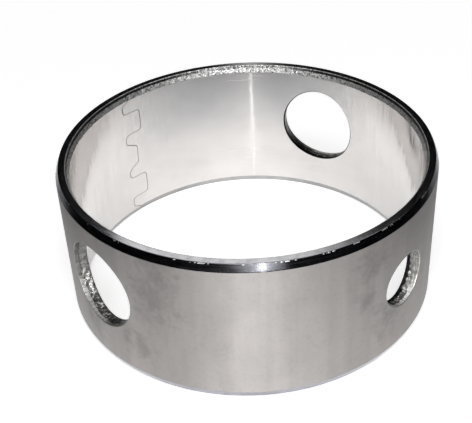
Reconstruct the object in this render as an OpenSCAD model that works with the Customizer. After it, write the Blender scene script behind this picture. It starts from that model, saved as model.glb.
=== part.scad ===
// Camshaft bushing: a plain bearing ring rolled from one strip of metal.
// The strip's two ends meet in a butt seam with two interlocking tongues,
// three oil holes are punched through the wall, and all four rims are bevelled.
// Millimetres. The axis is +Z and the lower end stands on Z = 0.

/* [Ring] */
// Outside diameter, pressed into the block
outer_d = 70; // [62:0.5:90]
// Thickness of the rolled strip
wall = 2.5; // [2:0.1:4]
// Length of the bushing along its axis
width = 29; // [27:0.5:40]

/* [Bevels] */
// Length along the axis of the lead-in bevel on the outside
lead_in_h = 1.4; // [0.6:0.1:2.4]
// Radial depth of the lead-in bevel
lead_in_depth = 0.6; // [0.2:0.05:0.8]
// Length along the axis of the bevel on the bore
bore_bevel_h = 1.4; // [0.6:0.1:2.4]
// Radial depth of the bevel on the bore
bore_bevel_depth = 0.6; // [0.2:0.05:0.8]

/* [Oil holes] */
// Diameter of the two large holes
large_hole_d = 16; // [8:0.5:18]
// Height of the large holes above the middle of the width
large_hole_lift = 1.7; // [-2:0.1:2.5]
// Angle of the first large hole, counted from +X
large_hole_a = 60.8; // [50:0.2:85]
// Angle of the second large hole
large_hole_b = 220.2; // [190:0.2:240]
// Diameter of the small hole
small_hole_d = 10.4; // [4:0.2:12]
// Height of the small hole above the middle of the width
small_hole_lift = 0.3; // [-3:0.1:3]
// Angle of the small hole
small_hole_a = 319.6; // [290:0.2:345]

/* [Seam] */
// Angle of the straight part of the seam
seam_a = 135; // [120:0.5:150]
// Width of the hairline between the strip's two ends
seam_gap = 0.12; // [0.05:0.01:0.3]
// Width of a tongue along the axis
tongue_w = 4.9; // [3:0.1:5.5]
// How far a tongue reaches past the straight part of the seam
tongue_reach = 1.6; // [1.2:0.1:3]
// Depth of the pockets that hook behind a tongue
pocket_depth = 2.7; // [1.5:0.1:4]
// Width of a pocket along the axis
pocket_w = 2.1; // [1.6:0.1:2.4]
// Rise of the slanted flank that leads out of a pocket
flank_rise = 1.2; // [0.4:0.1:1.4]
// Straight stretch of the seam at each end of the bushing
seam_end = 1; // [0.5:0.1:1.5]
// Rounding of the corners of the tongues and pockets
corner_r = 0.75; // [0.4:0.05:0.78]

/* [Hidden] */

$fn = 96;
outer_r = outer_d / 2;
bore_r = outer_r - wall;
mid_z = width / 2;
// Angle where the revolved wall begins, on plain metal beside the seam
revolve_start = seam_a + 32.5;

// A lock is a tongue with the pockets and flanks above and below it.
lock_h = tongue_w + 2 * (pocket_w + flank_rise);
lock_z = [width - seam_end - lock_h / 2, seam_end + lock_h / 2];
corner_steps = 8;
// How far a cutting tool runs past the metal
over = 1;

function unit(v) = v / norm(v);
function reversed(p) = [for (i = [len(p) - 1 : -1 : 0]) p[i]];

// Half of a lock's corners, from its middle upwards: [along the rim, along the axis]
half_lock = [
    [-tongue_reach, tongue_w / 2],
    [pocket_depth, tongue_w / 2],
    [pocket_depth, tongue_w / 2 + pocket_w],
    [0, lock_h / 2],
];

// All corners of one lock, from its top to its bottom, about the height z
function lock_corners(z) = concat(
    [for (p = reversed(half_lock)) [p[0], z + p[1]]],
    [for (p = half_lock) [p[0], z - p[1]]]
);

// The arc that rounds the corner b between its neighbours a and c
function corner_arc(a, b, c) =
    let (
        u = unit(a - b),
        v = unit(c - b),
        half = acos(u * v) / 2,
        middle = b + unit(u + v) * corner_r / sin(half),
        first = b + u * corner_r / tan(half) - middle,
        last = b + v * corner_r / tan(half) - middle
    )
    [for (i = [0 : corner_steps]) middle + corner_r * unit(first + (last - first) * i / corner_steps)];

// A polyline with every inner corner rounded
function rounded(p) = concat(
    [p[0]],
    [for (i = [1 : len(p) - 2]) each corner_arc(p[i - 1], p[i], p[i + 1])],
    [p[len(p) - 1]]
);

// A polyline moved sideways by the distance d
function beside(p, d) = [
    for (i = [0 : len(p) - 1])
        let (t = unit(p[min(i + 1, len(p) - 1)] - p[max(i - 1, 0)]))
        p[i] + d * [-t[1], t[0]]
];

// The line of the seam on the unrolled strip, from above the top to below the bottom
function seam_line() = rounded(concat(
    [[0, width + over]],
    [for (z = lock_z) each lock_corners(z)],
    [[0, -over]]
));

// Section of the strip's wall, with a lead-in bevel outside and a bevel on the bore
module wall_section() {
    polygon([
        [bore_r, bore_bevel_h],
        [bore_r + bore_bevel_depth, 0],
        [outer_r - lead_in_depth, 0],
        [outer_r, lead_in_h],
        [outer_r, width - lead_in_h],
        [outer_r - lead_in_depth, width],
        [bore_r + bore_bevel_depth, width],
        [bore_r, width - bore_bevel_h],
    ]);
}

// A radial punch through one side of the wall
module oil_hole(d, angle, lift) {
    rotate([0, 0, angle])
        translate([bore_r / 2, 0, mid_z + lift])
            rotate([0, 90, 0])
                cylinder(d = d, h = outer_r - bore_r / 2 + over);
}

// The hairline where the strip's two ends meet, cut straight through the wall
module seam_cut() {
    line = seam_line();
    rotate([0, 0, seam_a])
        translate([bore_r - over, 0, 0])
            rotate([90, 0, 90])
                linear_extrude(wall + 2 * over)
                    polygon(concat(beside(line, seam_gap / 2), reversed(beside(line, -seam_gap / 2))));
}

module bushing_ring() {
    color("silver")
        difference() {
            rotate([0, 0, revolve_start]) rotate_extrude() wall_section();
            for (angle = [large_hole_a, large_hole_b])
                oil_hole(large_hole_d, angle, large_hole_lift);
            oil_hole(small_hole_d, small_hole_a, small_hole_lift);
            seam_cut();
        }
}

bushing_ring();
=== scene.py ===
# %% [markdown]
# # A camshaft bushing in bare metal
# The bushing is one strip of metal: punched, rolled to a ring, closed by a butt seam with two
# interlocking tongues, and bevelled at its rims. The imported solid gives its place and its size.
# Here the same ring is worked out again as a fine mesh with broken edges, torn hole walls and a
# seam that is really open, because polished metal shows every edge by the light that it catches.
# Lengths are millimetres and angles degrees; MM turns a length into Blender's metres.

import bpy
import numpy as np
from mathutils import Matrix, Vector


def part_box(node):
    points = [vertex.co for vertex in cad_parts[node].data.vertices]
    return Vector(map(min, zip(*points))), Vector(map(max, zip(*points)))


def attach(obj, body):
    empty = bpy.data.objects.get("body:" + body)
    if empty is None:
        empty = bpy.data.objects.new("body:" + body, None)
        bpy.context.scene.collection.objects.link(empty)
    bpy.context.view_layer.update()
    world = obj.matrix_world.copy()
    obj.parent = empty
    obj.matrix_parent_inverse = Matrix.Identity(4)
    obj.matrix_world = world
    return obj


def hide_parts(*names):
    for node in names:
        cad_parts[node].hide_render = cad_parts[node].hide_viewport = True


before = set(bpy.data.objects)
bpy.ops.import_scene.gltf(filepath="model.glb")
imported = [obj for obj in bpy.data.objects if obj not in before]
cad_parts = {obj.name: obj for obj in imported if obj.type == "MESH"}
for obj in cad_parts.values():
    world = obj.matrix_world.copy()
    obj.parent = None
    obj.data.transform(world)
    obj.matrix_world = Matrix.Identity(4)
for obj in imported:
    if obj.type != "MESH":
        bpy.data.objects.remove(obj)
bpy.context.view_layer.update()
MM = 0.001
ring_low, ring_high = (np.array(corner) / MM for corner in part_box("bushing_ring"))
outer_r = (ring_high[0] - ring_low[0]) / 2
width = ring_high[2] - ring_low[2]
print(f"ring: {2 * outer_r:.2f} mm across, {width:.2f} mm wide")

# %% [markdown]
# ## The seam's line
# The two ends of the strip were cut so that tongues on one end snap behind hooks on the other.
# A drawing of one lock needs only half of its corners, since it is the same above and below its
# middle. The corners are rounded with arcs, as a press tool's are. A slight draft on the flanks keeps
# the height rising all the way along the line, so the seam can be kept as a plain function: how far
# it leans aside at each height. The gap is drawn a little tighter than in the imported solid, because
# a real seam of this kind is pressed shut.

# %% Seam: sizes of its locks
wall = 2.5
bore_r = outer_r - wall
seam_angle = 135.0
seam_gap = 0.08
tongue_w, tongue_reach = 4.9, 1.6
pocket_w, pocket_depth = 2.1, 2.7
flank_rise, flank_draft = 1.2, 0.06
seam_end = 1.0
lock_h = tongue_w + 2 * (pocket_w + flank_rise)
print(f"locks: two of {lock_h:.1f} mm on a strip {width:.1f} mm wide")


# %% Lines with rounded corners
def unit(v):
    """The vector v divided by its own length."""
    return v / np.linalg.norm(v, axis=-1, keepdims=True)


def corner_arc(before, corner, after, radius, steps, lead=0.0):
    """The arc that touches both legs of a corner: its middle lies on the bisector, radius over the
    sine of the half angle away. With a lead, a point on each leg just outside the arc is added."""
    u, v = unit(before - corner), unit(after - corner)
    half = np.arccos(np.clip(u @ v, -1, 1)) / 2
    middle = corner + unit(u + v) * radius / np.sin(half)
    first, last = corner + u * radius / np.tan(half), corner + v * radius / np.tan(half)
    t = np.linspace(0, 1, steps + 1)[:, None]
    arc = middle + radius * unit((first - middle) * (1 - t) + (last - middle) * t)
    return np.vstack([first + u * lead, arc, last + v * lead]) if lead else arc


def rounded_line(corners, radius, steps):
    """A line of straight legs with an arc in place of each inner corner."""
    arcs = [corner_arc(a, b, c, radius, steps) for a, b, c in zip(corners, corners[1:], corners[2:])]
    return np.vstack([corners[:1], *arcs, corners[-1:]])


def spread(line, step):
    """The points of a line, with more added so that no gap along it is longer than step, and without
    those that follow another by less than a sixth of it."""
    along = np.r_[0, np.cumsum(np.linalg.norm(np.diff(line, axis=0), axis=1))]
    places = np.union1d(along, np.arange(0, along[-1], step))
    places = places[np.r_[True, np.diff(places) > step / 6]]
    return np.column_stack([np.interp(places, along, line[:, k]) for k in (0, 1)])


# %% Seam: the line, its lean and its direction
lock_corner_r, lock_arc_steps = 0.75, 4
seam_step = 0.8
half_lock = np.array([
    [0, lock_h / 2],
    [pocket_depth, tongue_w / 2 + pocket_w],
    [pocket_depth, tongue_w / 2 + flank_draft],
    [-tongue_reach, tongue_w / 2 - flank_draft],
])
whole_lock = np.vstack([half_lock, half_lock[::-1] * [1, -1]])
lock_heights = (width - seam_end - lock_h / 2, seam_end + lock_h / 2)
seam_corners = np.vstack([[[0, width]], *[whole_lock + [0, z] for z in lock_heights], [[0, 0]]])
seam_line = spread(rounded_line(seam_corners, lock_corner_r, lock_arc_steps), seam_step)[::-1]
seam_run = unit(np.gradient(seam_line, axis=0))


def seam_lean(z):
    """Sideways place of the seam at the height z, read off its line."""
    return np.interp(z, seam_line[:, 1], seam_line[:, 0])


def seam_across(z):
    """Direction square to the seam at the height z, as a part aside and a part upwards."""
    up, aside = (np.interp(z, seam_line[:, 1], seam_run[:, k]) for k in (1, 0))
    return up, -aside


print(f"seam: {len(seam_line)} points, leans {seam_line[:, 0].min():.1f} to {seam_line[:, 0].max():.1f} mm")

# %% [markdown]
# ## The wall's section
# Cut across, the wall is a tall thin bar whose four corners are bevelled: a lead-in outside, for
# pressing it into its seat, and the same on the bore. No machined edge is truly sharp, so every
# corner gets a small arc. Short leads beside the arcs keep the shading flat on the faces between.
# The wall's own rows take the heights of the seam's points, so that the mesh can follow the seam.

# %% Section: a closed loop of (radius, height) points
bevel_depth, bevel_h = 0.6, 1.4
edge_round, shoulder_round = 0.09, 0.5
arc_steps, corner_lead = 4, 0.05
row_margin = 0.35
land_steps = 6
land_mid_r = outer_r - wall / 2
plain_low = bevel_h + row_margin
wall_rows = seam_line[:, 1]
wall_rows = wall_rows[(wall_rows > plain_low) & (wall_rows < width - plain_low)]


def side_rows(wall_r, land_r):
    """One side of the section from the lower land to the upper: two arcs, the wall's rows, and the
    same two arcs upside down."""
    inside, foot = np.array([land_mid_r, 0]), np.array([land_r, 0])
    shoulder, above = np.array([wall_r, bevel_h]), np.array([wall_r, width / 2])
    lower = np.vstack([
        corner_arc(inside, foot, shoulder, edge_round, arc_steps, corner_lead),
        corner_arc(foot, shoulder, above, shoulder_round, arc_steps, corner_lead),
    ])
    middle = np.column_stack([np.full_like(wall_rows, wall_r), wall_rows])
    return np.vstack([lower, middle, lower[::-1] * [1, -1] + [0, width]])


def between(a, b, steps):
    """The points that divide the way from a to b into equal steps, without its ends."""
    t = np.linspace(0, 1, steps + 1)[1:-1, None]
    return a * (1 - t) + b * t


outside = side_rows(outer_r, outer_r - bevel_depth)
inside = side_rows(bore_r, bore_r + bevel_depth)
section = np.vstack([
    outside,
    between(outside[-1], inside[-1], land_steps),
    inside[::-1],
    between(inside[0], outside[0], land_steps),
])
side_n = len(outside)
land_n = land_steps - 1
section_n = len(section)
tangent = np.roll(section, -1, axis=0) - np.roll(section, 1, axis=0)
section_in = unit(np.column_stack([-tangent[:, 1], tangent[:, 0]]))
print(f"section: {section_n} points, {side_n} on each side")

# %% [markdown]
# ## Round the ring
# The ring is the section carried round the axis. Its columns start at one lip of the seam and end
# at the other. Near the seam they lean aside with it, and the lean fades out over a few degrees, so
# the grid stays regular everywhere else. The columns also stop exactly at the edges of a panel
# round each hole, because those panels are taken out again in the next step.

# %% Columns round the ring
large_hole_r, large_lift, large_panel = 8.0, 1.7, 17.0
small_hole_r, small_lift, small_panel = 5.2, 0.3, 12.0
holes = (
    # angle, height and radius of each punched hole, and half the angle of its panel
    (60.8, width / 2 + large_lift, large_hole_r, large_panel),
    (220.2, width / 2 + large_lift, large_hole_r, large_panel),
    (319.6, width / 2 + small_lift, small_hole_r, small_panel),
)
plain_step = 1.8
lean_reach, lean_columns, lean_even = 20.0, 15, 0.35
lip_columns = np.array([0.02, 0.045, 0.08, 0.2])
mm_per_degree = np.radians(1) * land_mid_r


def columns():
    """Angles from the seam, in degrees: fine beside both lips, then wider by a share of t and a share
    of t squared, even elsewhere, with a column on each side of every hole's panel."""
    t = np.linspace(0, 1, lean_columns + 1)[1:]
    near = lip_columns / mm_per_degree
    widening = lean_even * t + (1 - lean_even) * t**2
    lip = np.r_[0, near, near[-1] + (lean_reach - near[-1]) * widening]
    stops = sorted((a - seam_angle + side) % 360 for a, _, _, half in holes for side in (-half, half))
    stops = [lean_reach, *stops, 360 - lean_reach]
    runs = [np.linspace(a, b, int(np.ceil((b - a) / plain_step)) + 1)[1:] for a, b in zip(stops, stops[1:])]
    return np.concatenate([lip, *runs, 360 - lip[::-1][1:]])


turn = columns()
turn_n = len(turn)
print(f"columns: {turn_n} round the ring")


# %% Grid of the ring
def s_curve(x):
    """A smooth change from 0 to 1: three times the square less twice the cube."""
    return x * x * (3 - 2 * x)


lip_round = 0.08
from_lip = np.minimum(turn, 360 - turn)
fade = s_curve(np.clip(1 - from_lip / lean_reach, 0, 1))
lip_side = np.where(turn < 180, 1, -1)


def lip_drop(d):
    """How far a rounded lip has fallen at the distance d from its edge: a quarter circle."""
    x = np.clip(1 - d / lip_round, 0, 1)
    return lip_round * (1 - np.sqrt(1 - x * x))


drop = lip_drop(from_lip * mm_per_degree)
r = section[:, :1] + section_in[:, :1] * drop
z = section[:, 1:] + section_in[:, 1:] * drop
gap_aside, gap_up = seam_across(z)
opening = lip_side * seam_gap / 2 * fade
aside = seam_lean(z) * fade + opening * gap_aside
z = z + opening * gap_up
angle = np.radians(seam_angle + turn) + aside / r
grid = np.stack([r * np.cos(angle), r * np.sin(angle), z], axis=2)
grid_id = np.arange(section_n * turn_n).reshape(section_n, turn_n)
print(f"grid: {section_n} x {turn_n} points")

# %% [markdown]
# ## Punched holes
# A punch rolls the edge over where it enters, shears the first third of the wall smooth and tears
# the rest. The holes were punched in the flat strip. Rolling then stretched the outside along the
# rim and pressed the bore together, so a hole is a little wider outside than inside. Each hole here
# is a sleeve of loops: from the border of its panel in to a round edge, over the rolled lip, down the
# wall and out to the same border on the bore. The torn part is moved in and out by a lumpy noise, so
# it glitters as broken metal does.

# %% Lumpy noise in space
lattice, noise_seed = 32, 7
noise_table = np.random.default_rng(noise_seed).uniform(-1, 1, (lattice, lattice, lattice))


def lumps(points, size):
    """Smooth random heights from -1 to 1: values on a lattice of cells of that size, blended between
    the eight corners of a cell with an S-shaped weight."""
    cell = points / size
    base = np.floor(cell).astype(int)
    f = s_curve(cell - base)
    total = 0
    for corner in np.ndindex(2, 2, 2):
        at = (base + corner) % lattice
        weight = np.prod(np.where(corner, f, 1 - f), axis=-1)
        total = total + weight * noise_table[at[..., 0], at[..., 1], at[..., 2]]
    return total


print(f"noise: {lattice} cells a side, mean {noise_table.mean():.3f}")


# %% Borders of the panels
def outside_row(i):
    """Section number of the row i of the outside."""
    return i


def inside_row(i):
    """Section number of the row i of the bore, whose rows run downwards."""
    return side_n + land_n + side_n - 1 - i


def panel_border(rows, cols, row_of):
    """Grid numbers round a panel, anticlockwise seen from outside. row_of gives the section's number
    for a row of the side."""
    low, high = rows
    left, right = cols
    up, across = np.arange(low, high), np.arange(left, right)
    return np.concatenate([
        grid_id[row_of(low), across],
        grid_id[row_of(up), right],
        grid_id[row_of(high), across[::-1] + 1],
        grid_id[row_of(up[::-1] + 1), left],
    ])


# %% Torn part of a hole's wall
wall_loops = 16
tear_start, tear_fade = 0.3, 0.15
tear_depth, tear_size = 0.09, 0.55
patch_size, patch_least, patch_swing = 8 * tear_size, 0.3, 1.4
grain_depth, grain_size = 0.015, 0.2 * tear_size


def torn_wall(enter, leave):
    """Loops in even steps between the edges of a hole. Behind tear_start they move out and in by lumps,
    deeper in some patches than in others, and everywhere by a fine grain."""
    share = np.linspace(0, 1, wall_loops)[1:-1, None, None]
    through = enter * (1 - share) + leave * share
    way = share[..., 0]
    torn = np.clip((way - tear_start) / tear_fade, 0, 1) * np.clip((1 - way) / tear_fade, 0, 1)
    patchy = patch_least + patch_swing * np.clip(0.5 + lumps(through, patch_size), 0, 1)
    rough = tear_depth * torn * patchy * lumps(through, tear_size)
    rough = rough + grain_depth * lumps(through, grain_size)
    through[..., 1:] += unit(through[..., 1:]) * rough[..., None]
    return through


# %% Sleeves: the loops from one side of the wall to the other through each hole
rolled_edge, exit_edge = 0.15, 0.20
collar = np.array([0.3, 0.55, 0.75, 0.88, 0.96, 1.0])
roll = np.radians([18, 36, 54, 72, 90])


def sleeve(hole_angle, hole_z, hole_r, rows, cols):
    """Loops of points through a hole: a collar on the outside, a rolled edge, the wall, the exit edge
    and a collar on the bore. A point has a depth x along the hole, a place aside t and a height h."""
    a = np.radians(hole_angle)

    def on_side(wall_r, flat, depth):
        """Points of a cylinder of that radius, moved along the hole by depth."""
        return np.column_stack([np.sqrt(wall_r**2 - flat[:, 0] ** 2) + depth, flat])

    def side(wall_r, row_of, lip, inwards):
        """Loops from the panel's border in to the hole, and a quarter circle over its edge. The outline
        is a circle stretched along the rim by this radius over that of the middle of the strip."""
        edge = grid.reshape(-1, 3)[panel_border(rows, cols, row_of)]
        border = np.column_stack([edge[:, 1] * np.cos(a) - edge[:, 0] * np.sin(a), edge[:, 2] - hole_z])
        phi = np.arctan2(border[:, 1], border[:, 0])
        ray = np.column_stack([np.cos(phi) * wall_r / land_mid_r, np.sin(phi)])
        loops = [on_side(wall_r, border * (1 - g) + ray * (hole_r + lip) * g, 0) for g in collar]
        for q in roll:
            flat = ray * (hole_r + lip * (1 - np.sin(q)))
            loops.append(on_side(wall_r, flat, inwards * lip * (1 - np.cos(q))))
        return np.array(loops)

    enter = side(outer_r, outside_row, rolled_edge, -1)
    leave = side(bore_r, inside_row, exit_edge, 1)
    loops = np.concatenate([enter, torn_wall(enter[-1], leave[-1]), leave[::-1]])
    x, t, h = loops[..., 0], loops[..., 1], loops[..., 2]
    return np.stack([x * np.cos(a) - t * np.sin(a), x * np.sin(a) + t * np.cos(a), h + hole_z], axis=2)


# %% [markdown]
# ## One closed mesh
# The faces of the ring, less the panels of the holes, the sleeves and the two end faces of the strip
# share their points, so the mesh is closed without any merging. Each face also notes its finish.

# %% Faces of the ring and their finishes
OUTSIDE, LEAD_IN, LAND, BORE_BEVEL, BORE, PUNCHED = range(6)
# an arc's own points and its two leads, and those of a shoulder that are finished like the wall
arc_points, shoulder_points = arc_steps + 3, 4


def strips(rows):
    """Four-cornered faces between neighbouring rows of point numbers."""
    a, b = rows[:-1], rows[1:]
    return np.stack([a[:, :-1], a[:, 1:], b[:, 1:], b[:, :-1]], axis=2)


def row_finish():
    """The finish of the faces that start at each point of the section. A bevel has the points of two
    arcs and their leads, less the last few of the shoulder, which belong to the wall."""
    bevel_rows = 2 * arc_points - shoulder_points
    row = np.arange(side_n)
    bevelled = (row < bevel_rows) | (row >= side_n - bevel_rows - 1)
    kind = np.full(section_n, LAND)
    kind[:side_n - 1] = np.where(bevelled, LEAD_IN, OUTSIDE)[:-1]
    low = side_n + land_n
    kind[low:low + side_n - 1] = np.where(bevelled, BORE_BEVEL, BORE)[::-1][:-1]
    return kind


quads = strips(np.vstack([grid_id, grid_id[:1]]))
finish = np.repeat(row_finish()[:, None], turn_n - 1, axis=1)
keep = np.ones(finish.shape, bool)
print(f"ring: {finish.size} faces before the holes")

# %% Sleeves in place of the panels
# metal between a hole and its panel's border, and rows of the rolled edge finished like the outside
panel_margin, rolled_rows = 2.0, 3
points, faces, marks = [grid.reshape(-1, 3)], [], []


def add_points(block):
    """Keep a block of rows of points, and give their numbers in the same rows."""
    first = sum(len(kept) for kept in points)
    points.append(block.reshape(-1, 3))
    return first + np.arange(len(points[-1])).reshape(block.shape[:2])


for hole_angle, hole_z, hole_r, half in holes:
    panel_z = hole_z + np.array([-1, 1]) * (hole_r + panel_margin)
    rows = np.abs(outside[:, 1][:, None] - panel_z).argmin(axis=0)
    sides = (hole_angle - seam_angle + np.array([-half, half])) % 360
    cols = np.abs(turn[:, None] - sides).argmin(axis=0)
    keep[rows[0]:rows[1], cols[0]:cols[1]] = False
    keep[inside_row(rows[1]):inside_row(rows[0]), cols[0]:cols[1]] = False
    ids = add_points(sleeve(hole_angle, hole_z, hole_r, rows, cols))
    rings = np.vstack([panel_border(rows, cols, outside_row), ids, panel_border(rows, cols, inside_row)])
    rings = np.column_stack([rings, rings[:, :1]])
    faces.append(strips(rings).reshape(-1, 4))
    kind = np.full(len(rings) - 1, PUNCHED)
    kind[:len(collar) + rolled_rows], kind[-len(collar):] = OUTSIDE, BORE
    marks.append(np.repeat(kind, ids.shape[1]))
    print(f"hole at {hole_angle:.0f} degrees: {ids.shape[0]} loops of {ids.shape[1]} points")

# %% End faces of the strip, and all of it together
for column, flip in ((0, False), (turn_n - 1, True)):
    outer_lip, inner_lip = grid_id[:side_n, column], grid_id[inside_row(np.arange(side_n)), column]
    share = np.linspace(0, 1, land_steps + 1)[1:-1, None, None]
    across = points[0][outer_lip] * (1 - share) + points[0][inner_lip] * share
    ids = add_points(across.transpose(1, 0, 2)[1:-1])
    top = grid_id[side_n:side_n + land_n, column]
    bottom = grid_id[section_n - land_n:, column][::-1]
    end = np.column_stack([outer_lip, np.vstack([bottom, ids, top]), inner_lip])
    end = strips(end if flip else end[:, ::-1]).reshape(-1, 4)
    faces.append(end)
    marks.append(np.full(len(end), PUNCHED))

faces = np.concatenate([quads[keep], *faces])
marks = np.concatenate([finish[keep], *marks])
used, faces = np.unique(faces, return_inverse=True)
faces = faces.reshape(-1, 4)
points = np.concatenate(points)[used] * MM
print(f"bushing: {len(points)} points, {len(faces)} faces")


# %% Put a mesh into the scene
def mesh_piece(name, verts, quad_faces, materials, finish_ids):
    """A mesh object at the origin from whole arrays, smooth shaded, one material per finish."""
    mesh = bpy.data.meshes.new(name)
    mesh.from_pydata(verts, [], quad_faces.tolist())
    for material in materials:
        mesh.materials.append(material)
    mesh.polygons.foreach_set("material_index", finish_ids.astype(np.int32))
    mesh.polygons.foreach_set("use_smooth", np.ones(len(quad_faces), bool))
    mesh.update()
    piece = bpy.data.objects.new(name, mesh)
    bpy.context.scene.collection.objects.link(piece)
    return piece


# %% [markdown]
# ## Finishes
# All of it is one metal, but each face was left by another tool, so there are six materials. They
# share a few nodes, and a small class keeps the calls for those short. Every pattern reads Object
# coordinates in millimetres. For marks that go round the ring, the place is first rolled flat on a
# circle: the direction from the axis times a radius, so that only height or depth is left to vary.


# %% Short calls for the nodes
class Finish:
    """A metal under construction. Keyword arguments set constants on the shader's own sockets."""

    def __init__(self, name, **constants):
        self.material = bpy.data.materials.new(name)
        self.material.use_nodes = True
        self.nodes, self.links = self.material.node_tree.nodes, self.material.node_tree.links
        self.shader = self.nodes["Principled BSDF"]
        self.shader.inputs["Metallic"].default_value = 1.0
        for socket, value in constants.items():
            self.shader.inputs[socket.replace("_", " ").title()].default_value = value
        at = self.node("TexCoord").outputs["Object"]
        self.place = self.vector("SCALE", at, Scale=1 / MM)
        flat = self.vector("MULTIPLY", self.place, (1, 1, 0))
        self.radius = self.node("VectorMath", {0: flat}, operation="LENGTH").outputs["Value"]
        self.depth = self.math("SUBTRACT", outer_r, self.radius)
        self.direction = self.vector("NORMALIZE", flat)
        parts = self.node("SeparateXYZ", {0: self.place}).outputs
        self.x, self.height = parts["X"], parts["Z"]

    def node(self, kind, inputs=None, **settings):
        """A new node with its settings, and its inputs set or linked."""
        new = self.nodes.new("ShaderNode" + kind)
        for name, value in settings.items():
            setattr(new, name, value)
        for socket, value in (inputs or {}).items():
            if isinstance(value, bpy.types.NodeSocket):
                self.links.new(value, new.inputs[socket])
            else:
                new.inputs[socket].default_value = value
        return new

    def math(self, operation, a, b=0.0):
        """A sum or product of two values, or another Math node."""
        return self.node("Math", {0: a, 1: b}, operation=operation).outputs[0]

    def vector(self, operation, a, b=(0, 0, 0), **inputs):
        """The same for vectors."""
        return self.node("VectorMath", {0: a, 1: b, **inputs}, operation=operation).outputs[0]

    def around(self, turns, across, frequency):
        """A place for marks that follow the ring: slow along its direction, fast across it."""
        slow = self.vector("SCALE", self.direction, Scale=turns)
        fast = self.node("CombineXYZ", {2: self.math("MULTIPLY", across, frequency)}).outputs[0]
        return self.vector("ADD", slow, fast)

    def noise(self, vector, frequency=1.0, detail=3.0, roughness=0.5):
        """Noise from 0 to 1, with so many lumps per unit of the vector."""
        inputs = {"Vector": vector, "Scale": frequency, "Detail": detail, "Roughness": roughness}
        return self.node("TexNoise", inputs).outputs["Fac"]

    def ramp(self, value, low, high, to_low=0.0, to_high=1.0):
        """A straight change from to_low at low to to_high at high, held beyond both."""
        inputs = {"Value": value, "From Min": low, "From Max": high, "To Min": to_low, "To Max": to_high}
        return self.node("MapRange", inputs).outputs["Result"]

    def both(self, a, b):
        """1 only where both values are 1: their product."""
        return self.math("MULTIPLY", a, b)

    def shade(self, colour, *dims):
        """Base colour: the colour times (1 - amount x value) for each pair of value and amount."""
        factor = 1.0
        for value, amount in dims:
            kept = self.math("SUBTRACT", 1.0, self.math("MULTIPLY", value, amount))
            factor = kept if factor == 1.0 else self.math("MULTIPLY", factor, kept)
        self.links.new(self.vector("SCALE", colour, Scale=factor), self.shader.inputs["Base Color"])

    def rough(self, value):
        """The roughness, from a value that varies."""
        self.links.new(value, self.shader.inputs["Roughness"])

    def relief(self, *layers):
        """Bumps on top of each other: pairs of a height from 0 to 1 and its size in millimetres."""
        below = None
        for height, size in layers:
            inputs = {"Height": height, "Distance": size * MM, "Strength": 1.0}
            if below:
                inputs["Normal"] = below
            below = self.node("Bump", inputs).outputs["Normal"]
        self.links.new(below, self.shader.inputs["Normal"])

    def grooves_round(self):
        """Tangents along the ring, so that the highlight spreads along the axis."""
        around = self.node("Tangent", direction_type="RADIAL", axis="Z")
        self.links.new(around.outputs["Tangent"], self.shader.inputs["Tangent"])


# %% [markdown]
# ### Outside and bore
# The outside was turned and then handled: it is a duller grey with cloudy stains, darkest beside the
# holes. The bore was turned finer and is much brighter. Both have grooves round the ring that are far
# finer than a pixel. Anisotropy stands for them: with its tangents laid round the ring, it spreads a
# reflection along the axis. Shallow waves, which rolling leaves, break up what the metal shows.

# %% Turned outside
outside_grey = (0.535, 0.511, 0.500)
stain_ragged = 0.7
stains = (
    # angle, height and size of the stains beside the holes
    (-118, 19, 6), (-124, 8, 4), (-144, 7, 4), (-115, 25, 4),
    (-55, 23, 4), (-57, 16, 3), (-48, 9, 4.5),
)


def stained(metal):
    """1 in the middle of a stain and 0 outside all of them: the distance to each, with a ragged edge."""
    ragged = metal.noise(metal.place, 0.45, 4, 0.65)
    stain = 0.0
    for degrees, height, size in stains:
        spot = (outer_r * np.cos(np.radians(degrees)), outer_r * np.sin(np.radians(degrees)), height)
        away = metal.node("VectorMath", {0: metal.place, 1: spot}, operation="DISTANCE").outputs["Value"]
        edge = metal.ramp(ragged, 0.3, 0.7, -stain_ragged * size, stain_ragged * size)
        stain = metal.math("MAXIMUM", stain, metal.ramp(metal.math("ADD", away, edge), 0, size, 1, 0))
    return stain


def turned_outside():
    """Dull grey with clouds, upright smears and rubbed bands, specks and stains."""
    # the grey edge tint is painted shade: it darkens the limbs at grazing angles
    metal = Finish("turned_outside", anisotropic=0.8, anisotropic_rotation=0.25,
                   specular_tint=(0.7, 0.7, 0.7, 1))
    cloud = metal.ramp(metal.noise(metal.place, 0.09, 5, 0.65), 0.46, 0.68)
    upright = metal.vector("MULTIPLY", metal.place, (0.25, 0.25, 0.09))
    smear = metal.ramp(metal.noise(upright, 1, 4), 0.55, 0.75)
    speck = metal.ramp(metal.noise(metal.place, 1.4, 3), 0.52, 0.75)
    groove = metal.noise(metal.around(6, metal.height, 5), 1, 3)
    wave = metal.noise(metal.around(16, metal.height, 0.03), 1, 3)
    rub = metal.noise(metal.around(13, metal.height, 0.02), 1, 2)
    metal.shade(outside_grey, (cloud, 0.10), (smear, 0.08), (speck, 0.08), (rub, 0.26),
                (stained(metal), 0.22))
    metal.rough(metal.ramp(groove, 0.3, 0.7, 0.40, 0.44))
    metal.relief((wave, 0.04), (groove, 0.001), (speck, 0.004))
    metal.grooves_round()
    return metal.material


# %% Turned bore
bore_grey = (0.685, 0.665, 0.652)
# distances to the left and right where the bore changes: its ticks end, it grows rougher and darker by
# painted shade, and waved
bore_ticks, bore_rough_and_shaded, bore_waved = (3, 8), (10, 34), (12, 28)


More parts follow.
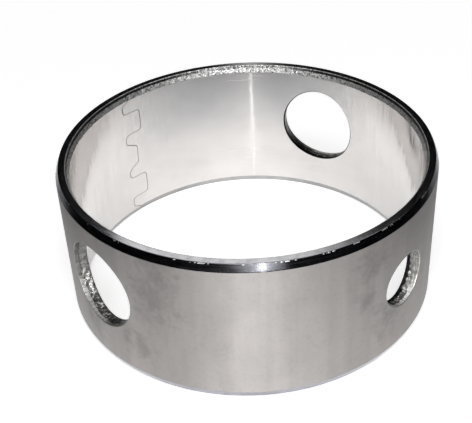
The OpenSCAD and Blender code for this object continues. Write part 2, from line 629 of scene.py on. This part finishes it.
def turned_bore():
    """Bright, with faint clouds and rings. A few rings beside the bright line are rougher and cut short
    ticks across it. Towards the left and right it is rougher, waved and darkened by painted shade."""
    metal = Finish("turned_bore", anisotropic=1.0, anisotropic_rotation=0.25)
    aside = metal.math("ABSOLUTE", metal.x)
    cloud = metal.ramp(metal.noise(metal.place, 0.09, 4, 0.6), 0.45, 0.7)
    groove = metal.noise(metal.around(5, metal.height, 4), 1, 3)
    fine = metal.noise(metal.around(3, metal.height, 3), 1, 2)
    ring = metal.ramp(metal.noise(metal.around(0.8, metal.height, 7), 1, 2), 0.66, 0.70)
    ring = metal.both(ring, metal.ramp(aside, *bore_ticks, 0.14, 0))
    wave = metal.noise(metal.around(12, metal.height, 0.05), 1, 2)
    wave = metal.both(wave, metal.ramp(aside, *bore_waved))
    # painted shade: the base colour darkens towards the left and right
    metal.shade(bore_grey, (cloud, 0.06), (groove, 0.06), (metal.ramp(aside, *bore_rough_and_shaded), 0.08))
    metal.rough(metal.math("ADD", metal.ramp(aside, *bore_rough_and_shaded, 0.14, 0.19), ring))
    metal.relief((fine, 0.003), (wave, 0.10))
    metal.grooves_round()
    return metal.material


# %% [markdown]
# ### Rims
# The land and the lead-in bevel were cut last, with a sharp tool: nearly mirrors, with fine rings.
# The upper bevel on the bore was scraped: it is pitted and lumpy. A narrow dark strip just under its
# upper edge is painted shade, and painted shade darkens the bevel towards the left and right. The
# lower one is smoother and dull.


# %% Lead-in bevel and land
def cut_lead_in():
    """A mirror with fine rings and soft patches; its base is darkened and tinted blue as painted
    reflection.
    """
    metal = Finish("cut_lead_in")
    ring = metal.noise(metal.around(8, metal.height, 6), 1, 3)
    patch = metal.ramp(metal.noise(metal.place, 0.5, 3), 0.45, 0.7)
    # painted reflection: the dark bluish base stands in for the dark, bluish surroundings the bevel shows
    metal.shade((0.34, 0.34, 0.375), (patch, 0.25))
    metal.rough(metal.ramp(ring, 0.3, 0.7, 0.10, 0.20))
    metal.relief((ring, 0.004), (metal.noise(metal.place, 2.5, 2), 0.004))
    return metal.material


def faced_land():
    """A brighter mirror whose rings are spaced by the radius."""
    metal = Finish("faced_land")
    ring = metal.noise(metal.around(10, metal.radius, 7), 1, 3)
    patch = metal.ramp(metal.noise(metal.place, 0.6, 3), 0.45, 0.7)
    metal.shade((0.68, 0.68, 0.70), (patch, 0.22), (ring, 0.3))
    metal.rough(metal.ramp(ring, 0.3, 0.7, 0.08, 0.17))
    metal.relief((ring, 0.006))
    return metal.material


# %% Scraped bevel on the bore
# heights of the dark strip under the upper edge, which is painted shade
shade_strip_top, shade_strip_foot, shade_strip_soft = width - 0.10, width - 0.55, 0.04
# distances to the left and right where painted shade grows dark, on the strip and on the whole bevel,
# and heights where the upper half begins
shade_beside, upper_half = (8, 15), (10, 20)


def scraped_bevel():
    """Pits and lumps on the upper bevel only, and a dark strip of painted shade, which is fainter near
    the middle. Painted shade also darkens the bevel towards the left and right.
    """
    metal = Finish("scraped_bevel")
    beside = metal.ramp(metal.math("ABSOLUTE", metal.x), *shade_beside)
    strip = metal.both(metal.ramp(metal.height, shade_strip_foot - shade_strip_soft, shade_strip_foot + shade_strip_soft),
                       metal.ramp(metal.height, shade_strip_top - shade_strip_soft, shade_strip_top + shade_strip_soft, 1, 0))
    strip = metal.both(strip, metal.ramp(beside, 0, 1, 0.45, 1))
    upper = metal.ramp(metal.height, *upper_half)
    lower = metal.ramp(upper, 0, 1, 1, 0)
    scrape = metal.noise(metal.around(90, metal.height, 3.5), 1, 4, 0.65)
    lump = metal.both(metal.noise(metal.place, 1.6, 4, 0.65), upper)
    pit = metal.both(metal.ramp(metal.noise(metal.place, 1.9, 3, 0.65), 0.54, 0.62), upper)
    hollow = metal.ramp(lump, 0.45, 0.7)
    # painted shade: the strip, and the darkening beside the middle
    metal.shade((0.66, 0.66, 0.655), (pit, 0.7), (hollow, 0.3), (lower, 0.4), (strip, 0.94), (beside, 0.2))
    metal.rough(metal.ramp(scrape, 0.3, 0.7, 0.2, 0.4))
    metal.relief((lump, 0.26), (scrape, 0.05), (pit, 0.03))
    return metal.material


# %% [markdown]
# ### Cut faces
# On the walls of the holes and the ends of the strip, the first part of the cut is sheared: streaks
# straight through the wall. A dark line marks where it began to tear, and behind it the metal is
# grainy and glitters. Painted shade darkens the cut faces on the left, the far end of the cut on the
# right and the left lip of the hole at the back.

# %% Punched walls
shear_depth, shear_soft = 0.85, 0.05
# depth where painted shade starts at the far end of the cut, and its soft edge
exit_shade_depth, exit_shade_soft = 1.7, 0.15
# x that parts the hole on the left, which painted shade darkens, from the others; x at both sides of
# the back hole's left lip, which is painted dark; and heights where the dark lower part of a hole ends
side_x, back_lip_shade_from, back_lip_shade_to, low_end = 5, (5, 6), (10.5, 13.5), (10, 12)


def punched_wall():
    """Streaks, the line of the tear and grain, by the depth under the outside. Painted shade darkens the
    cut faces on the left, more in their sheared part, the far end of the cut on the right and the left
    lip of the hole at the back."""
    metal = Finish("punched_wall")
    height_only = metal.node("CombineXYZ", {2: metal.height}).outputs[0]
    rolled = metal.vector("ADD", metal.vector("SCALE", metal.direction, Scale=outer_r), height_only)
    wander = metal.ramp(metal.noise(rolled, 0.8, 2), 0.3, 0.7, -0.25, 0.25)
    depth = metal.math("ADD", metal.depth, wander)
    on_left, on_right = metal.ramp(metal.x, -side_x, side_x, 1, 0), metal.ramp(metal.x, -side_x, side_x)
    streak = metal.ramp(metal.noise(rolled, 2.2, 3, 0.6), 0.42, 0.60)
    grain = metal.noise(metal.place, 2.2, 3, 0.65)
    torn = metal.ramp(depth, shear_depth - shear_soft, shear_depth + shear_soft)
    line = metal.math("ABSOLUTE", metal.math("SUBTRACT", depth, shear_depth))
    line = metal.ramp(line, 0.03, 0.14, 1, 0)
    pit = metal.both(metal.ramp(grain, 0.50, 0.60), torn)
    left_shear_shade = metal.both(metal.math("SUBTRACT", 1.0, torn), on_left)
    low = metal.both(metal.ramp(metal.height, *low_end, 1, 0), torn)
    low = metal.both(low, metal.ramp(grain, 0.38, 0.46))
    exit_shade = metal.both(metal.ramp(depth, exit_shade_depth, exit_shade_depth + exit_shade_soft), on_right)
    back_lip_shade = metal.both(metal.ramp(metal.x, *back_lip_shade_from), metal.ramp(metal.x, *back_lip_shade_to, 1, 0))
    # painted shade: the back lip, the cut faces on the left and the far end of the cut on the right
    metal.shade((0.98, 0.97, 0.94), (back_lip_shade, 0.8), (pit, 0.45), (line, 0.65), (streak, 0.35),
                (left_shear_shade, 0.3), (on_left, 0.4), (low, 0.85), (exit_shade, 0.95))
    metal.rough(metal.ramp(grain, 0.35, 0.65, 0.25, 0.45))
    metal.relief((streak, 0.02), (metal.both(grain, torn), 0.08))
    return metal.material


# %% The bushing itself
finishes = [turned_outside(), cut_lead_in(), faced_land(), scraped_bevel(), turned_bore(), punched_wall()]
bushing = mesh_piece("rolled_bushing", points, faces, finishes, marks)
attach(bushing, "root")
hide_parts("bushing_ring")
print("materials:", ", ".join(m.name for m in bushing.data.materials))

# %% [markdown]
# ## Burr
# The facing tool left a burr along the outer edge of the upper land. It is a thread carried round the
# edge, just under the metal. Its thickness follows a lumpy noise, so it breaks out only in stretches,
# and in more of them on the right.

# %% Burr along the upper rim
burr_in, burr_under = 0.04, 0.22
burr_r, burr_z = outer_r - bevel_depth - burr_in, width - burr_under
burr_least, burr_most = 0.06, 0.16
long_lumps, long_size = 1.1, 1.2
short_lumps, short_size = 0.9, 0.25 * long_size
burr_side, burr_swing, burr_bias = np.radians(-25.0), 0.3, -0.05
burr_steps, burr_sides = 2400, 7


def torn_burr():
    """Plain rough metal with dark grain."""
    metal = Finish("torn_burr")
    grain = metal.noise(metal.place, 4.0, 3, 0.6)
    metal.shade((0.64, 0.64, 0.64), (metal.ramp(grain, 0.45, 0.65), 0.6))
    metal.rough(metal.ramp(grain, 0.3, 0.7, 0.4, 0.6))
    metal.relief((grain, 0.03))
    return metal.material


def burr_thread():
    """Points of a thin tube round the rim: middle circle plus thickness times a direction in the section.
    The thickness follows long and short lumps, lifted on one side by a cosine of the angle."""
    a = np.linspace(0, 2 * np.pi, burr_steps, endpoint=False)[:, None]
    q = np.linspace(0, 2 * np.pi, burr_sides, endpoint=False)
    middle = np.stack([burr_r * np.cos(a), burr_r * np.sin(a), 0 * a + burr_z], axis=2)
    heavy = burr_swing * np.cos(a - burr_side) + burr_bias
    out = heavy + long_lumps * lumps(middle, long_size) + short_lumps * lumps(middle, short_size)
    out = np.clip(out, 0, 1)
    thick = burr_least + (burr_most - burr_least) * out
    tube_r = burr_r + thick * np.cos(q)
    return np.stack([tube_r * np.cos(a), tube_r * np.sin(a), burr_z + thick * np.sin(q)], axis=2)


thread = burr_thread()
thread_id = np.arange(burr_steps * burr_sides).reshape(burr_steps, burr_sides)
thread_id = np.pad(thread_id, ((0, 1), (0, 1)), mode="wrap")
thread_faces = strips(thread_id).reshape(-1, 4)[:, ::-1]
one_finish = np.zeros(len(thread_faces))
burr = mesh_piece("rim_burr", thread.reshape(-1, 3) * MM, thread_faces, [torn_burr()], one_finish)
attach(burr, "root")
print(f"burr: {len(thread_faces)} faces, top at {thread[..., 2].max():.3f} mm")

# %% [markdown]
# ## Camera
# The camera stands where a pinhole camera fitted to the rims of the ring puts it. Its place is given
# in ring radii and its lens by the focal length in pixels of the photograph's frame. It comes before
# the light, because one strip of light is worked out from where the camera stands.

# %% Camera
frame_w, focal_px = 472, 944.46
camera_back, camera_up = 4.2399, 3.4277
camera_yaw, camera_pitch, camera_roll = np.radians([-0.925, 35.390, -2.956])


def camera_axes(yaw, pitch, roll):
    """Right, up and backward axes of a camera that looks along +Y, turned by yaw about the vertical,
    tipped down by pitch and rolled about its own axis."""
    forward = np.array([np.sin(yaw) * np.cos(pitch), np.cos(yaw) * np.cos(pitch), -np.sin(pitch)])
    level = np.array([np.cos(yaw), -np.sin(yaw), 0])
    above = np.cross(level, forward)
    right = np.cos(roll) * level + np.sin(roll) * above
    up = -np.sin(roll) * level + np.cos(roll) * above
    return np.column_stack([right, up, -forward])


def set_up(name, data, axes, place):
    """A lamp or camera in the scene, with its right, up and backward axes, at a place in metres."""
    piece = bpy.data.objects.new(name, data)
    bpy.context.scene.collection.objects.link(piece)
    pose = np.eye(4)
    pose[:3, :3], pose[:3, 3] = axes, place
    piece.matrix_world = Matrix(pose.tolist())
    return piece


camera_data = bpy.data.cameras.new("camera")
camera_data.sensor_fit = "HORIZONTAL"
camera_data.sensor_width = 36.0
camera_data.lens = focal_px / frame_w * camera_data.sensor_width
camera_data.clip_start = 0.01
camera_place = np.array([0, -camera_back, camera_up]) * outer_r * MM
camera = set_up("camera", camera_data, camera_axes(camera_yaw, camera_pitch, camera_roll), camera_place)
bpy.context.scene.camera = camera
bpy.context.scene.view_settings.view_transform = "Standard"
print(f"camera: lens {camera_data.lens:.1f} mm at {camera_place.round(3)}")

# %% [markdown]
# ## Floor and room
# The photograph is a product shot on white. Bare metal shows its surroundings, so they matter more
# than the lamps: a white floor in a white room gives the bright walls. Their glow is seen by the
# camera and in the metal but hardly lights anything, so the floor keeps its shadow.


# %% Surfaces of the stage
def seen_directly(nodes, links, strength):
    """The strength for camera, glossy and transmission rays, and 0 for the rest."""
    path = nodes.new("ShaderNodeLightPath")
    value = path.outputs["Is Camera Ray"]
    for other in ("Is Glossy Ray", "Is Transmission Ray"):
        larger = nodes.new("ShaderNodeMath")
        larger.operation = "MAXIMUM"
        links.new(value, larger.inputs[0])
        links.new(path.outputs[other], larger.inputs[1])
        value = larger.outputs[0]
    scaled = nodes.new("ShaderNodeMath")
    scaled.operation = "MULTIPLY"
    scaled.inputs[1].default_value = strength
    links.new(value, scaled.inputs[0])
    return scaled.outputs[0]


def stage_material(name, colour, glow=0.0):
    """A plain matt surface. Its glow is seen by the camera, and in metal and glass, and lights nothing."""
    material = bpy.data.materials.new(name)
    material.use_nodes = True
    nodes, links = material.node_tree.nodes, material.node_tree.links
    shader = nodes["Principled BSDF"]
    shader.inputs["Base Color"].default_value = (*colour, 1)
    shader.inputs["Roughness"].default_value = 0.9
    shader.inputs["Specular IOR Level"].default_value = 0.0
    if glow:
        shader.inputs["Emission Color"].default_value = (1, 1, 1, 1)
        links.new(seen_directly(nodes, links, glow), shader.inputs["Emission Strength"])
    return material


def flat_grid(name, surface, steps, material):
    """A stage piece whose points are surface(u, v), in millimetres, for u and v from 0 to 1."""
    u, v = np.meshgrid(np.linspace(0, 1, steps[0]), np.linspace(0, 1, steps[1]))
    ids = np.arange(u.size).reshape(u.shape)
    quad_faces = strips(ids).reshape(-1, 4)
    verts = surface(u, v).reshape(-1, 3) * MM
    piece = mesh_piece(name, verts, quad_faces, [material], np.zeros(len(quad_faces)))
    return piece


def level_sheet(half_w, front, back, height):
    """A flat sheet: u runs from left to right and v from front to back."""
    def surface(u, v):
        return np.stack([(u * 2 - 1) * half_w, front + (back - front) * v, 0 * u + height], axis=2)

    return surface


# %% White floor and room
pale = (0.8, 0.8, 0.8)
floor_half, floor_glow = 1500.0, 0.60
room_seen, room_light = 0.92, 0.08
flat_grid("floor", level_sheet(floor_half, -floor_half, floor_half, 0), (2, 2),
          stage_material("white_floor", pale, floor_glow))

world = bpy.data.worlds.new("white_room")
bpy.context.scene.world = world
world.use_nodes = True
room_nodes, room_links = world.node_tree.nodes, world.node_tree.links
background = room_nodes["Background"]
background.inputs["Color"].default_value = (1, 1, 1, 1)
strength = room_nodes.new("ShaderNodeMath")
strength.operation = "ADD"
strength.inputs[1].default_value = room_light
room_links.new(seen_directly(room_nodes, room_links, room_seen), strength.inputs[0])
room_links.new(strength.outputs[0], background.inputs["Strength"])
print(f"room: seen at {room_seen + room_light:.2f}, lights at {room_light:.2f}")

# %% [markdown]
# ## Flags
# Photographers darken the edges of bright metal with black flags. Here they are parts of a cylinder
# round the object, seen only in the metal: they give the dark lead-in and the dark far land. Where
# the land is to fade instead of ending at a flag's edge, the flag thins out.


# %% Materials that thin out
def card_material(name, colour, middle, reach, clear, solid, glow=0.0):
    """A matt card that thins out: clear at one share of its reach from its middle, solid at another."""
    material = stage_material(name, colour, glow)
    nodes, links = material.node_tree.nodes, material.node_tree.links
    offset = nodes.new("ShaderNodeMapping")
    offset.vector_type = "TEXTURE"
    offset.inputs["Location"].default_value = np.array(middle) * MM
    offset.inputs["Scale"].default_value = np.array(reach) * MM
    links.new(nodes.new("ShaderNodeTexCoord").outputs["Object"], offset.inputs["Vector"])
    away = nodes.new("ShaderNodeVectorMath")
    away.operation = "LENGTH"
    links.new(offset.outputs["Vector"], away.inputs[0])
    thick = nodes.new("ShaderNodeMapRange")
    thick.interpolation_type = "SMOOTHSTEP"
    thick.inputs["From Min"].default_value = clear
    thick.inputs["From Max"].default_value = solid
    links.new(away.outputs["Value"], thick.inputs["Value"])
    links.new(thick.outputs["Result"], nodes["Principled BSDF"].inputs["Alpha"])
    return material


def only_in_metal(piece):
    """Hide a stage piece from every ray but those that the metal throws back."""
    for ray in ("camera", "diffuse", "shadow", "transmission"):
        setattr(piece, f"visible_{ray}", False)


# %% Black flags
flag_r, flag_steps = 130.0, (24, 9)
flag_foot, flag_top = 0.2, 52.0
back_foot, back_top = 23.0, 38.0
black, endless = (0.01, 0.01, 0.011), 1e6
thin_edge = card_material(
    "thin_edge", black, middle=(6, flag_r, 0), reach=(42, 42, endless), clear=0.15, solid=1.0)
thin_middle = card_material(
    "thin_middle", black, middle=(2.3, flag_r, 0), reach=(13, 60, endless), clear=-0.8, solid=1.0)


def flag(name, left, right, low, high, finish):
    """Part of a cylinder round the object. Left and right give its edges as the angles at its foot and
    at its top; low and high are heights in degrees above the floor, seen from the object."""

    def surface(u, v):
        start, end = left[0] + (left[1] - left[0]) * v, right[0] + (right[1] - right[0]) * v
        a = np.radians(start + (end - start) * u)
        h = flag_r * np.tan(np.radians(low + (high - low) * v))
        return np.stack([flag_r * np.cos(a), flag_r * np.sin(a), h], axis=2)

    only_in_metal(flat_grid(name, surface, flag_steps, finish))


flag("flag_left", (62, 117), (274, 274), flag_foot, flag_top, thin_middle)
flag("flag_right", (-83.8, -83.8), (82.5, 82.5), flag_foot, flag_top, thin_edge)
flag("flag_back", (60, 60), (120, 120), back_foot, back_top, thin_middle)
print(f"flags: black, {flag_r:.0f} mm from the axis")

# %% [markdown]
# ## Cards
# Cards on the floor shade what the metal shows. A grey one on both sides lets the outside fall off to
# the left and right. A disc inside the bore makes the upper bore darker, and a soft white card over
# it gives the pale band round the bore's bright line. The line itself is a narrow white strip. These
# lie one above another by a fraction of a millimetre. Two upright cards that glow inside the flags
# give the glint on the lead-in. Only the metal sees any of them.

# %% Cards on the floor
side_h, disc_h, halo_h, line_h = 0.2, 0.3, 0.4, 0.5
side_half, disc_gap = 400.0, 0.5
halo_half, halo_front, halo_back = 10.0, -18.0, 24.0


def bore_disc(u, v):
    """A round card on the floor inside the bore, by the share v of its radius and the turn u."""
    a, disc_r = 2 * np.pi * u, (bore_r - disc_gap) * v
    return np.stack([disc_r * np.cos(a), disc_r * np.sin(a), 0 * u + disc_h], axis=2)


cool_white, mid_grey = (0.90, 0.94, 1.0), (0.40, 0.40, 0.40)
bore_finish = card_material(
    "bore_card", cool_white, middle=(0, -14, 0), reach=(60, 44, endless), clear=1.0, solid=0.2, glow=0.10)
halo_finish = card_material(
    "halo_card", pale, middle=(-0.5, 12, 0), reach=(9, 30, endless), clear=1.0, solid=0.2, glow=0.6)
side_finish = card_material(
    "side_card", mid_grey, middle=(0, 0, 0), reach=(100, endless, endless), clear=0.4, solid=1.0)
only_in_metal(flat_grid("bore_card", bore_disc, (49, 9), bore_finish))
halo_sheet = level_sheet(halo_half, halo_front, halo_back, halo_h)
only_in_metal(flat_grid("halo_card", halo_sheet, (2, 2), halo_finish))
side_sheet = level_sheet(side_half, -side_half, side_half, side_h)
only_in_metal(flat_grid("side_card", side_sheet, (2, 2), side_finish))
print(f"cards: disc of {2 * (bore_r - disc_gap):.0f} mm in the bore, grey beside the ring")

# %% Bright line in the bore
bore_line = np.radians(87.0)
line_w, least_w, line_reach = 0.12, 0.06, 50.0
line_glow = 6.0


def floor_line():
    """A white strip on the floor, seen in the bore as an upright line of that width. It follows the ray
    from the camera that the line throws back: the ray's direction less twice its share along the wall's
    normal. The hollow wall gathers rays at half its radius, so the strip narrows towards that place."""
    normal = -np.array([np.cos(bore_line), np.sin(bore_line)])
    foot = -normal * bore_r
    ray = unit(foot + np.array([0, camera_back * outer_r]))
    along = ray - 2 * (ray @ normal) * normal
    side = np.array([-along[1], along[0]])

    def surface(u, v):
        way = line_reach * v
        w = np.hypot(line_w * (1 - 2 * way / bore_r), least_w) * v * (u - 0.5)
        flat = foot + along * way[..., None] + side * w[..., None]
        return np.dstack([flat, 0 * u + line_h])

    return surface


line_finish = stage_material("floor_line", pale, line_glow)
only_in_metal(flat_grid("floor_line", floor_line(), (2, 41), line_finish))
print(f"bright line: at {np.degrees(bore_line):.0f} degrees, {line_w:.2f} mm wide")

# %% Glint on the lead-in
glint_x, glint_back, glint_z = 11.0, 125.0, 42.7
glint_half_w, glint_half_h = 34.0, 9.0
glints = (
    # name, distance nearer to the object, half width of the glow and its strength
    ("glint_soft", 0.0, glint_half_w, 2.2),
    ("glint_core", 1.0, 4.0, 12.0),
)


def glint_card(nearer):
    """A flat upright card inside the flags, moved towards the object by the distance nearer."""
    def surface(u, v):
        x, h = glint_x + (u * 2 - 1) * glint_half_w, glint_z + (v * 2 - 1) * glint_half_h
        return np.stack([x, 0 * u - glint_back + nearer, h], axis=2)

    return surface


for name, nearer, half_w, glow in glints:
    fading = card_material(
        name, (0, 0, 0), middle=(glint_x, 0, glint_z), reach=(half_w, endless, glint_half_h),
        clear=1.0, solid=0.0, glow=glow)
    only_in_metal(flat_grid(name, glint_card(nearer), (2, 2), fading))
print(f"glint: {glint_back:.0f} mm in front, {glint_z:.0f} mm up")

# %% [markdown]
# ## Lamps
# One large soft lamp over the front lights the floor and gives the shadow; the metal doesn't show it.
# A panel and a strip in front do the opposite: they are seen only in the metal, as reflections.


# %% Lamps
def lamp(name, place, target, size, power):
    """A rectangular lamp at a place, in metres, that faces a target."""
    light = bpy.data.lights.new(name, "AREA")
    light.shape = "RECTANGLE"
    light.size, light.size_y = size
    light.energy = power
    forward = unit(np.array(target) - np.array(place))
    right = unit(np.cross(forward, [0, 0, 1]))
    return set_up(name, light, np.column_stack([right, np.cross(right, forward), -forward]), place)


ring_middle = (0, 0, 0.015)
floor_key = lamp("floor_key", (0, -0.90, 1.80), (0, 0, 0), (0.90, 0.90), 21.0)
floor_key.visible_glossy = False
front_panel = lamp("front_panel", (0.06, -0.56, 0.47), ring_middle, (0.52, 0.14), 5.5)
front_strip = lamp("front_strip", (-0.08, -0.90, 0.42), ring_middle, (0.05, 0.30), 2.2)
for reflector in (front_panel, front_strip):
    reflector.visible_diffuse = False
for piece in (floor_key, front_panel, front_strip):
    print(f"lamp {piece.name}: {piece.data.energy:.1f} W")
